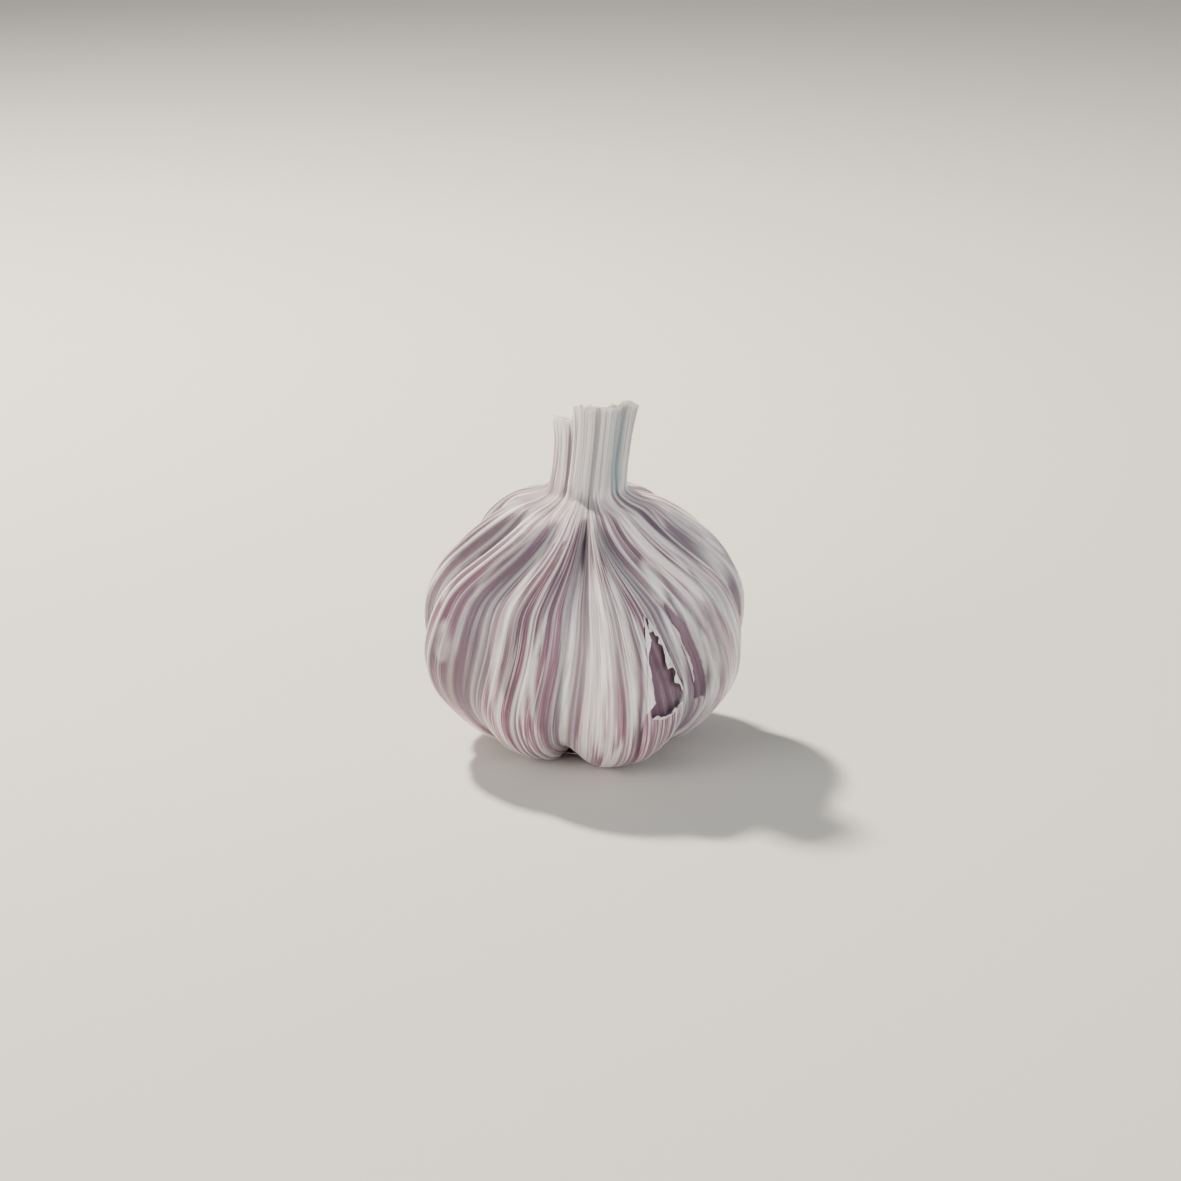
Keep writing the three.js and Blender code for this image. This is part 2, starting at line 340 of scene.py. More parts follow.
def skinPoint(azimuth, radius, height, lift=0, reach=1, onOuterSkin=False):
    # A place on the skin, and what the shader needs to know about it.
    clove, furrow, fibre = cloveAt(azimuth, height)
    _, along, outward, upward = outlineAt(round(height, 2))
    point = flowPoint(fibre, along)
    stand = swellOf(clove, height) * (1 - furrow) - furrowDepth(height) * furrow
    arch = bulbShape["footArch"] * max(0, furrow - 0.15) * (1 - ramp(height, 0, 7))
    ridge, vein = veinRelief(azimuth, fibre, height, radius)
    bare, deep = (0, 0) if onOuterSkin else tornAt(azimuth, height, point)
    edge = bulbShape["sheathEdge"] + 3 * noise.noise(Vector((height * 0.16, 3, 0)))
    sheath = bulbShape["sheathStep"] * (1 - (azimuth - edge) % 360 / 360) * ramp(height, *bulbShape["neckFrom"])
    sheath -= neckHollow(azimuth, height)
    quiet = ramp(height, 0.2, 3)  # the skin is pressed flat where it rests
    relief = quiet * (ridge * (1 - bare) + wrinkleRelief(point, height) - deep * bare) + sheath
    out = radius + reach * stand + relief * mix(1, outward, 0.5) + lift * outward
    high = height + arch + rimRise(azimuth, point) * ramp(height, 50, neckTop) + (relief * 0.5 * quiet + lift) * upward
    high = clamp(high, 0, bulbShape["highest"])
    # Painted shade in the furrows, fading out up the shoulders.
    shaded = furrow * (1 - ramp(height, *bulbShape["furrowsEnd"]))
    facts = {"flow": point, "furrow": shaded, "vein": vein, "bare": bare}
    return placeAt(azimuth, out, high, middleOffset(high)), facts


# Purple streaks and pale bloom, each as width in millimetres, strength, and [azimuth, height] points.
purpleStreaks = [
    (1.9, 0.75, [(-16, 42), (-21, 40), (-27, 38), (-33, 35), (-38, 30), (-42, 26)]),
    (2.4, 0.75, [(-62, 27), (-52, 20), (-56, 14), (-60, 9)]), (1.6, 0.7, [(-40, 30), (-42, 25), (-44, 19), (-48, 11)]),
    (1.7, 0.62, [(-21, 38), (-24, 33), (-25, 27), (-27, 20), (-28, 14)]),
    (1.3, 0.55, [(-13, 40), (-12, 35), (-14, 30), (-16, 22), (-18, 14), (-19, 9)]),
    (0.8, 0.6, [(-4, 38), (-6, 32), (-8, 26), (-10, 16), (-13, 9)]),
    (0.6, 0.8, [(0, 39), (1, 35), (0.5, 30), (-1, 24)]), (0.9, 0.8, [(8, 36), (11, 28), (13, 19), (13, 10), (12, 4)]),
    (0.8, 0.85, [(13, 36), (16, 30), (18, 24), (20, 15), (20, 6)]),
    (1.5, 1.0, [(32, 33), (36, 28), (42, 22), (50, 14)]), (1.3, 0.85, [(41, 31), (45, 24), (49, 18), (54, 12)]),
    (1.1, 0.6, [(50, 31), (51, 26), (57, 20), (62, 13)]), (1.0, 0.7, [(74, 41), (79, 35), (78, 29), (82, 22)]),
    (2.2, 0.5, [(40, 12), (43, 8), (42, 4)]), (2.2, 0.65, [(-51, 44), (-56, 41), (-72, 37), (-80, 33)]),
    (1.0, 0.7, [(-46, 41), (-58, 37), (-67, 34), (-79, 28), (-84, 22)]),
    (0.9, 0.6, [(-35, 43), (-41, 38), (-52, 32), (-56, 26)]), (1.5, 0.6, [(-70, 24), (-72, 16), (-74, 9)]),
    (0.8, 0.6, [(27, 40), (31, 35), (30, 31)]), (1.8, 0.3, [(-66, 57), (-62, 46)]),
    (0.5, 1.4, [(-76, 58), (-72, 46), (-66, 43)]), (0.5, 1.6, [(-60, 58), (-56, 47), (-50, 42)]),
    (0.4, 1.4, [(-49, 58), (-46, 47), (-40, 42)]), (0.5, 1.6, [(-39, 59), (-38, 52), (-35, 45), (-28, 39)]),
    (0.45, 1.5, [(-25, 60), (-23, 47), (-18, 40)]), (0.4, 1.3, [(-12, 60), (-10, 45), (-8, 40)]),
    (0.35, 0.8, [(1, 60), (3, 44)]), (0.3, 0.6, [(17, 60), (16, 45)]), (0.35, 0.6, [(33, 60), (32, 45)]),
    (0.5, 0.7, [(66, 60), (64, 50)]), (0.3, 0.7, [(110, 59), (112, 44)]), (0.25, 0.7, [(160, 58), (164, 44)]),
    (0.3, 0.7, [(215, 58), (212, 43)]), (0.25, 0.7, [(262, 58), (264, 44)]),
]
paleStreaks = [
    (1.2, 0.95, [(-24, 40), (-27, 37), (-29, 31), (-30, 27), (-32, 22), (-34, 15), (-36, 9)]),
    (0.6, 0.85, [(-24, 43), (-32, 40.5), (-44, 36.5), (-48, 33), (-48, 30)]),
    (1.5, 0.8, [(-74, 35), (-69, 32), (-63, 28)]), (1.7, 0.75, [(-58, 27), (-55, 23), (-58, 19)]),
    (2.3, 0.8, [(-74, 43.5), (-88, 41), (-96, 38)]), (0.5, 0.8, [(-14, 32), (-16, 26), (-21, 18), (-25, 9)]),
    (0.5, 0.75, [(-16, 25), (-18, 20), (-20, 10)]),
    (0.8, 0.85, [(-2, 39), (-3, 34), (-5, 27), (-7, 18), (-10, 8), (-11, 4)]),
    (2.3, 0.75, [(4, 38), (6, 32), (6, 26), (6, 17), (7, 9), (8, 4)]),
    (1.0, 0.8, [(10, 37), (13, 32), (15, 25), (17, 16), (18, 6)]),
    (0.5, 0.85, [(17, 31), (20, 26), (21, 17), (21, 10)]),
    (0.6, 0.95, [(32, 31), (35, 26), (38.5, 22), (42, 17), (47, 10)]),
    (0.8, 0.85, [(37, 32), (42, 28), (45, 23.5), (51, 16)]), (1.7, 0.85, [(54, 33), (57, 29), (66, 25), (73, 21)]),
    (1.2, 0.75, [(30, 38), (33, 34), (34, 30)]), (2.6, 0.85, [(88, 42), (90, 38), (89, 32), (82, 26)]),
    (0.7, 0.85, [(28, 45), (39, 42), (46, 38), (51, 32)]), (0.6, 0.8, [(18, 45), (29, 41), (36, 36)]),
    (1.4, 0.7, [(-106, 36), (-96, 30), (-92, 22)]), (0.5, 0.85, [(-52, 59), (-50, 46), (-42, 41)]),
    (0.35, 0.95, [(-31, 59), (-30, 46), (-24, 40)]), (0.3, 0.85, [(-6, 58), (-5, 44)]),
    (0.4, 0.7, [(26, 58), (24, 46)]), (0.5, 0.8, [(60, 59), (52, 46)]), (0.6, 0.8, [(88, 59), (86, 44)]),
    (0.5, 0.8, [(185, 58), (188, 43)]), (0.5, 0.8, [(240, 58), (238, 43)]),
]


def addDistantStreaks():
    # The same habit of streaks over the sides and the back, along the fibres of the skin.
    random.seed(31)
    fibre = 66
    while fibre < 262:
        low, high = random.uniform(1, 16), random.uniform(26, 43)
        points = [(fibreTo(fibre + random.uniform(-1.2, 1.2), h), h) for h in (high, mix(high, low, 0.4), low)]
        pale = random.random() < 0.5
        width = random.choice((0.5, 0.8, 1.1, 1.6, 2.2))
        (paleStreaks if pale else purpleStreaks).append((width, random.uniform(0.6, 0.95), points))
        fibre += random.uniform(1.8, 4.6)


def addNeckStreaks():
    # Thin lines that run from the cut end down over the shoulders.
    random.seed(8)
    fibre = 0
    while fibre < 360:
        low = random.uniform(31, 40)
        points = [(fibreTo(fibre, h), h) for h in (57, 50, 46, 43.5, 41.5, 0.5 * (low + 41), low)]
        if random.random() < 0.4:
            paleStreaks.append((random.uniform(0.16, 0.3), random.uniform(0.5, 0.8), points))
        else:
            purpleStreaks.append((random.uniform(0.2, 0.45), random.uniform(0.6, 0.95), points))
        fibre += random.uniform(3, 7)


addDistantStreaks()
addNeckStreaks()

# Where the whole skin is tinged with purple, below the streaks: strength, azimuth and half width in degrees, then
# the heights where the tinge starts, is full, begins to fade and ends.
washes = [
    (0.76, -78, 46, 3, 12, 42, 47), (0.16, 16, 30, -2, -1, 14, 30), (0.38, -40, 20, 9, 17, 30, 44),
    (0.5, 54, 18, 12, 19, 28, 36), (0.04, -64, 32, 45, 48, 98, 99),
]
# Bands of it round the shoulders: strength, azimuth, half width, height and half its depth.
shoulderWashes = [(0.85, -64, 50, 38.5, 6.5), (0.3, -14, 20, 40, 6), (0.3, 84, 20, 34, 8)]


# The white tint of the neck, and painted shade on the neck and low on the body: azimuths, half widths and strengths.
neckTintsAndShade = {
    "shadedSide": (-22, 104),  # between these the neck is painted greyer and cooler, as painted shade on its side away from the key light
    "shadedFold": (44, 14, 0.65),  # painted shade, deepest in its pressed fold
    "shadedFoot": (64, 38, 0.14),  # and a little painted shade low on the body
    "whiteSide": (-58, 26, 0.75),  # here the neck is whiter between its purple lines
}


def paintedShadeAt(azimuth, height):
    # Painted shade: how strongly to grey the side of the neck away from the key light, most of all its fold, and the
    # body low on that side.
    start, end = neckTintsAndShade["shadedSide"]
    (fold, foldWidth, foldStrength), (foot, footWidth, footStrength) = neckTintsAndShade["shadedFold"], neckTintsAndShade["shadedFoot"]
    onNeck = ramp(height, *bulbShape["neckFrom"])
    paintedShade = onNeck * ramp(turnFrom(start, azimuth), 0, 40) * (1 - ramp(turnFrom(end, azimuth), 0, 60))
    paintedShade *= 0.5 + foldStrength * hill(turnFrom(fold, azimuth), 0, foldWidth)
    return paintedShade + footStrength * (1 - onNeck) * hill(turnFrom(foot, azimuth), 0, footWidth) * ramp(height, 2, 14)


def whiteAt(azimuth, height, purple):
    at, wide, strength = neckTintsAndShade["whiteSide"]
    return strength * ramp(height, 44, 49) * hill(turnFrom(at, azimuth), 0, wide) * max(0, 1 - 1.1 * purple)


def washAt(azimuth, height):
    wash = 0
    for strength, at, wide, start, full, fade, end in washes:
        full = ramp(height, start, full) * (1 - ramp(height, fade, end))
        wash += strength * hill(turnFrom(at, azimuth), 0, wide) * full
    for strength, at, wide, middle, deep in shoulderWashes:
        wash += strength * hill(turnFrom(at, azimuth), 0, wide) * hill(height, middle, deep)
    return wash


def streaksOver(streaks, azimuths, alongs, radii, wander):
    # How strongly the streaks lie over many places at once, by the distance in millimetres to each streak.
    most = numpy.zeros(len(azimuths))
    for width, strength, points in streaks:
        ends = [(a, outlineAt(h)[1]) for a, h in points]
        nearest = numpy.full(len(azimuths), 99.0)
        for number, ((ax, ay), (bx, by)) in enumerate(zip(ends, ends[1:])):
            dx = turnFrom(ax, bx) * math.pi / 180 * radii
            dy = by - ay
            px = ((azimuths - ax + 180) % 360 - 180) * math.pi / 180 * radii
            py = alongs - ay
            part = numpy.clip((px * dx + py * dy) / (dx * dx + dy * dy + 1e-9), 0, 1)
            whole = (number + part) / (len(ends) - 1)
            taper = 0.3 + 0.7 * numpy.sin(math.pi * numpy.clip(whole, 0.02, 0.98)) ** 0.7
            fade = numpy.clip(numpy.minimum(whole, 1 - whole) / 0.16, 0, 1) ** 0.8
            away = numpy.hypot(px - part * dx, py - part * dy)
            closeness = numpy.abs(away + wander * min(1, width)) / (width * taper) + 1.3 * (1 - fade)
            nearest = numpy.minimum(nearest, closeness)
        most = numpy.maximum(most, strength * numpy.exp(-nearest ** 2.2))
    return most


skinLayers = ("pigment", "bloom", "bare", "furrow", "vein", "neck", "paintedShade", "cut")


def newLayers(bm):
    layers = {name: bm.verts.layers.float.new(name) for name in skinLayers}
    layers["flow"] = bm.verts.layers.float_vector.new("flow")
    return layers


def writeLayers(vert, layers, facts):
    for name, value in facts.items():
        vert[layers[name]] = value


def newObject(bm, name, material):
    mesh = bpy.data.meshes.new(name)
    bm.to_mesh(mesh)
    bm.free()
    mesh.materials.append(material)
    made = bpy.data.objects.new(name, mesh)
    bpy.context.collection.objects.link(made)
    return made


def finishPiece(bm, name, material, thickness=0):
    # Turns a bmesh in millimetres into an object at the origin that rides on the bulb's body. A thickness makes
    # a sheet of it.
    bmesh.ops.recalc_face_normals(bm, faces=bm.faces)
    bmesh.ops.scale(bm, vec=(mm, mm, mm), verts=bm.verts)
    for face in bm.faces:
        face.smooth = True
    piece = newObject(bm, name, material)
    if thickness:
        thick = piece.modifiers.new("thickness", "SOLIDIFY")
        thick.thickness, thick.offset = thickness * mm, 0
    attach(piece, bodyName)
    print(name, len(piece.data.polygons), "faces")
    return piece


# The zones of a spun profile, from the hollow underneath over the outside to the inside of the neck.
zoneHollow, zoneFoot, zoneOutside, zoneInside = 0, 1, 2, 3


def spunProfile(bm, profile, steps, stepsPerTurn=8):
    # Spins a row of (radius, height, zone) points about Z, starting at azimuth 0; each vertex keeps its own.
    kept = [bm.verts.layers.float.new(name) for name in ("ringRadius", "ringHeight", "zone")]
    row = []
    for point in profile:
        vert = bm.verts.new((0, -point[0], point[1]))
        for layer, value in zip(kept, point):
            vert[layer] = value
        row.append(vert)
    for a, b in zip(row, row[1:]):
        bm.edges.new((a, b))
    bmesh.ops.spin(bm, geom=bm.verts[:] + bm.edges[:], cent=(0, 0, 0), axis=(0, 0, 1), angle=2 * math.pi,
                   steps=steps // stepsPerTurn, use_merge=True, use_duplicate=False)
    bmesh.ops.remove_doubles(bm, verts=bm.verts, dist=1e-5)
    rungs = [e for e in bm.edges if abs(e.verts[0].co.z - e.verts[1].co.z) < 1e-5
             and abs(e.verts[0][kept[0]] - e.verts[1][kept[0]]) < 1e-5]
    bmesh.ops.subdivide_edges(bm, edges=rungs, cuts=stepsPerTurn - 1, use_grid_fill=True)  # quicker than more turns
    return kept


def azimuthOf(vert):
    return math.degrees(math.atan2(vert.co.x, -vert.co.y))


# Colours, from the sRGB hex of the finish to linear.
def hexColour(code):
    parts = [int(code[i:i + 2], 16) / 255 for i in (1, 3, 5)]
    return (*(p / 12.92 if p <= 0.04045 else ((p + 0.055) / 1.055) ** 2.4 for p in parts), 1)


def addNode(tree, kind, settings=None, inputs=None, stops=None):
    # Adds one node, with its settings, its inputs by name or number, and the stops of a colour ramp.
    node = tree.nodes.new("ShaderNode" + kind)
    for name, value in (settings or {}).items():
        setattr(node, name, value)
    ready = [socket for socket in node.inputs if socket.enabled]
    for name, value in (inputs or {}).items():
        socket = ready[name] if isinstance(name, int) else next(s for s in ready if s.name == name)
        if isinstance(value, bpy.types.Node):
            value = next(s for s in value.outputs if s.enabled)
        if isinstance(value, bpy.types.NodeSocket):
            tree.links.new(value, socket)
        else:
            socket.default_value = value
    for i, (place, colour) in enumerate(stops or []):
        elements = node.color_ramp.elements
        stop = elements[i] if i < len(elements) else elements.new(place)
        stop.position, stop.color = place, hexColour(colour)
    return node


def newMaterial(name):
    material = bpy.data.materials.new(name)
    material.use_nodes = True
    return material, material.node_tree, material.node_tree.nodes["Principled BSDF"]


multiplyAdd = {"operation": "MULTIPLY_ADD"}
clampedMultiplyAdd = {"operation": "MULTIPLY_ADD", "use_clamp": True}

# Dried garlic leaf skin: paper-thin, satin, fibrous along its length, pale with purple anthocyanin streaks.
paperySkin = {
    "streakWidth": 4.5,  # mm across; each is about 15 times as long
    "fineStreakWidth": 1.1,
    "hairWidth": 0.42,  # fibres of 0.1 to 0.2 mm, drawn coarser so that they show
    "lineWidth": 0.85,  # the white lines over the veins, 1 to 3 mm apart
    "neckLineWidth": 2.0,  # 0.5 mm on the neck, where the fibres lie closer by a factor of 4.5
    "neckLineContrast": 9.0,
    "neckLineLevel": -4.95,
    "lineFrom": 0.56,
    "lineSharpness": 12.0,
    "lineStrength": 0.9,
    "lineFade": 0.62,  # how much fainter the white lines are where the skin is purple
    "wander": 2.5,  # how much purple comes and goes away from the drawn streaks
    "evenPurple": 0.34,  # and how much there is everywhere
    "streakStrength": 0.8,
    "fray": 0.95,  # how strongly fine fibres break up the purple
    "pale": "#ece1da",
    "mauve": "#b5899a",
    "purple": "#8a546c",
    "deepPurple": "#573649",
    "bloom": "#fcfbf7",  # the waxy white of the veins and of the outermost layer
    # painted shade: darker colour for the furrows between the cloves and the hollow underneath
    "furrow": "#766a76",
    "under": "#4a3044",  # the layer below, seen where the outermost skin has gone
    "underPale": "#785769",
    # painted shade: blue-grey for the side of the neck away from the key light, its fold and the body below
    "shadeGrey": "#88999c",
    "cutEnd": "#f3eee6",
    "roughness": 0.43,
    "sheen": 0.12,
    "glow": 0.14,
    "bump": 0.7,
}


def makeSkinMaterial(name, values):
    material, tree, shader = newMaterial(name)
    flow = addNode(tree, "Attribute", {"attribute_name": "flow"}).outputs["Vector"]

    def fibres(width, length, detail, shift=0.0):
        # Noise drawn out along the fibres: width and length in mm.
        place = addNode(tree, "Mapping", {}, {"Vector": flow, "Location": (shift, shift, shift),
                                              "Scale": (1 / width, 1 / width, 1 / length)})
        return addNode(tree, "TexNoise", {}, {"Vector": place, "Scale": 1.0, "Detail": detail,
                                              "Roughness": 0.6}).outputs[0]

    def layOver(colour, layerColour, shownBy, brokenBy=None, gain=0.0, plus=1.0):
        # Lays a colour over another where a layer of the mesh shows it, broken up by a noise: the skin's own colours,
        # and painted shade.
        shown = addNode(tree, "Attribute", {"attribute_name": shownBy}).outputs["Fac"]
        if brokenBy:
            broken = addNode(tree, "Math", clampedMultiplyAdd, {0: brokenBy, 1: gain, 2: plus})
            shown = addNode(tree, "Math", clampedMultiplyAdd, {0: shown, 1: broken, 2: 0.0})
        layerColour = hexColour(layerColour) if isinstance(layerColour, str) else layerColour
        return addNode(tree, "Mix", {"data_type": "RGBA"}, {"Factor": shown, "A": colour, "B": layerColour})

    broad = fibres(values["streakWidth"], values["streakWidth"] * 14, 3.0)
    fine = fibres(values["fineStreakWidth"], values["fineStreakWidth"] * 22, 3.0, 7.0)
    hair = fibres(values["hairWidth"], values["hairWidth"] * 40, 2.0, 13.0)
    line = fibres(values["lineWidth"], values["lineWidth"] * 42, 2.0, 31.0)
    flecks = fibres(1.1, 9.0, 4.0, 23.0)

    # Purple lies along the fibres: the drawn streaks, frayed at their edges, then broad and fine wandering ones.
    neck = addNode(tree, "Attribute", {"attribute_name": "neck"}).outputs["Fac"]
    pigment = addNode(tree, "Attribute", {"attribute_name": "pigment"}).outputs["Fac"]
    level = values["evenPurple"] - 0.5 * values["wander"] - 2.1 * values["fray"]
    wander = addNode(tree, "Math", multiplyAdd, {0: broad, 1: values["wander"], 2: level})
    neckLine = fibres(values["neckLineWidth"], values["neckLineWidth"] * 40, 3.0, 43.0)
    neckTone = addNode(tree, "Math", multiplyAdd, {0: neckLine, 1: values["neckLineContrast"],
                                                   2: values["neckLineLevel"]})
    amount = wander
    for source, gain in ((neck, neckTone), (pigment, values["streakStrength"]), (fine, 2.2 * values["fray"]),
                         (hair, 2.0 * values["fray"])):
        amount = addNode(tree, "Math", multiplyAdd, {0: source, 1: gain, 2: amount})
    tint = addNode(tree, "ValToRGB", {}, {0: amount}, [(0.05, values["pale"]), (0.92, values["deepPurple"]),
                                                       (0.26, values["mauve"]), (0.56, values["purple"])])
    # White lines over the veins, fainter where the skin is purple.
    whiteLine = addNode(tree, "Math", clampedMultiplyAdd, {0: line, 1: values["lineSharpness"],
                                                           2: -values["lineSharpness"] * values["lineFrom"]})
    faded = addNode(tree, "Math", clampedMultiplyAdd, {0: pigment, 1: -values["lineFade"], 2: values["lineStrength"]})
    whitened = addNode(tree, "Math", multiplyAdd, {0: whiteLine, 1: faded, 2: 0.0})
    colour = addNode(tree, "Mix", {"data_type": "RGBA"}, {"Factor": whitened, "A": tint,
                                                          "B": hexColour(values["bloom"])})
    # Painted shade: darker in the furrows between the cloves and in the hollow underneath.
    colour = layOver(colour, values["furrow"], "furrow", fine, 1.1, 0.25)
    colour = layOver(colour, values["bloom"], "bloom", flecks, 2.4, -0.45)
    colour = layOver(colour, values["bloom"], "vein", fine, 2.4, -0.45)
    under = addNode(tree, "ValToRGB", {}, {0: fine}, [(0.36, values["under"]), (0.66, values["underPale"])])
    colour = layOver(colour, under, "bare")
    # Painted shade: blue-grey on the side of the neck away from the key light, deepest in its fold, and a little low
    # on the body.
    colour = layOver(colour, values["shadeGrey"], "paintedShade", fine, 1.8, -0.1)
    colour = layOver(colour, values["cutEnd"], "cut")
    tree.links.new(colour.outputs[2], shader.inputs["Base Color"])

    rough = addNode(tree, "Math", multiplyAdd, {0: hair, 1: 0.22, 2: values["roughness"] - 0.11})
    tree.links.new(rough.outputs[0], shader.inputs["Roughness"])
    for name, value in (("IOR", 1.45), ("Sheen Weight", values["sheen"]), ("Sheen Roughness", 0.4),
                        ("Subsurface Weight", values["glow"]), ("Subsurface Radius", (1.0, 0.62, 0.58)),
                        ("Subsurface Scale", 0.0016)):
        shader.inputs[name].default_value = value

    # Bump: fibres 0.4 mm apart and a dry crinkle of about 1.5 mm.
    crinkle = addNode(tree, "TexNoise", {}, {"Vector": addNode(tree, "TexCoord").outputs["Object"], "Scale": 620.0,
                                             "Detail": 5.0, "Roughness": 0.62, "Distortion": 0.4}).outputs[0]
    relief = 0.0
    for source, gain in ((whiteLine, 0.35), (hair, 0.6), (crinkle, 0.5)):
        relief = addNode(tree, "Math", multiplyAdd, {0: source, 1: gain, 2: relief})
    bump = addNode(tree, "Bump", {}, {"Strength": values["bump"], "Distance": 0.0004, "Height": relief})
    tree.links.new(bump.outputs[0], shader.inputs["Normal"])
    return material


# Dried inner leaf sheaths: creamier and duller than the skin, with hardly any purple; their pale grey is painted shade
# inside the neck.
driedSheath = dict(paperySkin, evenPurple=0.1, wander=1.2, pale="#e6e0d2", mauve="#cfbfbc", purple="#ab929c",
                   deepPurple="#87707d", shadeGrey="#c9c9bd", cutEnd="#f2eee4", roughness=0.62, sheen=0.08, glow=0.18,
                   bump=0.45)

# Dried root tissue: matt, tan, woody and fibrous, with paler cut tips.
driedRoot = {"dark": "#7d674c", "middle": "#ab9272", "pale": "#cdb993", "roughness": 0.88, "grain": 0.5}


def makeRootMaterial(name, values):
    material, tree, shader = newMaterial(name)
    place = addNode(tree, "TexCoord").outputs["Object"]
    blotch = addNode(tree, "TexNoise", {}, {"Vector": place, "Scale": 420.0, "Detail": 4.0}).outputs[0]
    grain = addNode(tree, "TexNoise", {}, {"Vector": place, "Scale": 1000 / values["grain"], "Detail": 3.0}).outputs[0]
    tip = addNode(tree, "Attribute", {"attribute_name": "cut"}).outputs["Fac"]
    tone = addNode(tree, "Math", {"operation": "MULTIPLY_ADD"}, {0: grain, 1: 0.35, 2: blotch})
    tint = addNode(tree, "ValToRGB", {}, {0: tone}, [(0.42, values["dark"]), (0.92, values["pale"]),
                                                     (0.66, values["middle"])])
    colour = addNode(tree, "Mix", {"data_type": "RGBA"}, {"Factor": tip, "A": tint.outputs[0],
                                                          "B": hexColour(values["pale"])})
    tree.links.new(colour.outputs[2], shader.inputs["Base Color"])
    shader.inputs["Roughness"].default_value = values["roughness"]
    bump = addNode(tree, "Bump", {}, {"Strength": 0.6, "Distance": 0.0003, "Height": tone})
    tree.links.new(bump.outputs[0], shader.inputs["Normal"])
    return material


skinMaterial = makeSkinMaterial("papery_garlic_skin_air_dried", paperySkin)
sheathMaterial = makeSkinMaterial("dried_leaf_sheath_cut", driedSheath)
rootMaterial = makeRootMaterial("dried_root_tissue_trimmed", driedRoot)
print("materials ready")


def buildBulb():
    # The skin over the nine cloves, up the neck, over the cut end and down the inside of the neck.
    recessRadius, recessHeight = bulbShape["recess"]
    socketFloor = neckTop - bulbShape["socketDepth"]
    inner = neckRadius - bulbShape["neckWall"]
    under = [(0, recessHeight), (4.2, recessHeight), (recessRadius, recessHeight)]
    under += [(recessRadius + 0.1 * i, h) for i, h in ((1, 5.4), (2, 4.2), (3, 3))]
    feet = [(9.1, 1.9), (9.6, 0.8), (10.1, 0.25), (bulbShape["restRadius"], 0), (11.7, 0)]
    within = [(inner + 0.3, neckTop + 0.1), (inner, neckTop - 0.05), (inner - 0.15, neckTop - 0.6)]
    within += [(inner - 0.15 - 0.075 * d, neckTop - d) for d in (1.6, 3, 5, 7.5)]
    within += [(inner - 1.1, socketFloor), (0, socketFloor)]
    profile = [(r, h, zone) for zone, points in ((zoneHollow, under), (zoneFoot, feet), (zoneOutside, [
        (p.x, p.y) for p in skinLine]), (zoneInside, within)) for r, h in points]
    bm = bmesh.new()
    layers = newLayers(bm)
    radiusLayer, heightLayer, zoneLayer = spunProfile(bm, profile, bulbShape["steps"])
    # The columns of the mesh turn with the fibres, and the faces are finer where the outermost skin has torn.
    for vert in bm.verts:
        radius, height = vert[radiusLayer], vert[heightLayer]
        if radius > 1e-4:
            reached = neckTop if round(vert[zoneLayer]) == zoneInside else clamp(height, 0, neckTop)
            vert.co = placeAt(fibreTo(azimuthOf(vert), reached), radius, height)
    for number, place in enumerate(tornPlaces):
        torn = [e for e in bm.edges if all(
            v[zoneLayer] == zoneOutside and insideTorn(place, azimuthOf(v), v[heightLayer]) > -1.2 for v in e.verts)]
        bmesh.ops.subdivide_edges(bm, edges=torn, cuts=2 if number < 2 else 1, use_grid_fill=True)
    skin = []
    for vert in bm.verts:
        radius, height, zone = vert[radiusLayer], vert[heightLayer], round(vert[zoneLayer])
        if radius < 1e-4:
            vert.co.x = middleOffset(height)
            continue
        azimuth = azimuthOf(vert)
        point = flowPoint(azimuth, 60)
        if zone == zoneHollow:
            rough = 0.12 * stretched(point, 0.5, 0.5) if height < 6 else 0
            vert.co = placeAt(azimuth, radius + rough, height)
            # The hollow underneath gets painted shade.
            writeLayers(vert, layers, {"flow": flowPoint(azimuth, -height), "furrow": 0.6})
            continue
        if zone == zoneInside:
            rise = rimRise(azimuth, point) * ramp(height, neckTop - 4, neckTop - 1)
            high = min(height + rise, bulbShape["highest"])
            inner = radius - neckHollow(azimuth, height) * ramp(radius, 2, 5)
            vert.co = placeAt(azimuth, inner, high, middleOffset(high))
            writeLayers(vert, layers, {"flow": flowPoint(azimuth, 90 + neckTop - height), "neck": 1,
                                       "cut": ramp(height, neckTop - 3, neckTop - 0.5)})
            continue
        reach = ramp(radius, recessRadius, bulbShape["outline"][0][0]) if zone == zoneFoot else 1
        vert.co, facts = skinPoint(azimuth, radius, height, reach=reach)
        point = facts["flow"]
        wander = 0.3 * stretched(point, 0.25, 0.07, 51) + 0.14 * stretched(point, 0.9, 0.2, 57)
        skin.append((vert, azimuth, point.z, max(radius, 4), wander))
        # Painted shade goes on the side of the neck away from the key light and low on the body.
        writeLayers(vert, layers, {**facts, "neck": ramp(height, *bulbShape["neckFrom"]),
                                   "paintedShade": paintedShadeAt(azimuth, height),
                                   "cut": ramp(height, neckTop - 0.8, neckTop - 0.1)})
    places = numpy.array([given[1:] for given in skin]).T
    purples, pales = streaksOver(purpleStreaks, *places), streaksOver(paleStreaks, *places)
    for (vert, azimuth, *_), purple, pale in zip(skin, purples, pales):
        wash = washAt(azimuth, vert[heightLayer])
        vert[layers["pigment"]] = purple + wash
        vert[layers["bloom"]] = pale * (1 - 0.6 * wash) + whiteAt(azimuth, vert[heightLayer], purple + wash)
    piece = finishPiece(bm, "bulb_skin", skinMaterial)
    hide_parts("bulb")


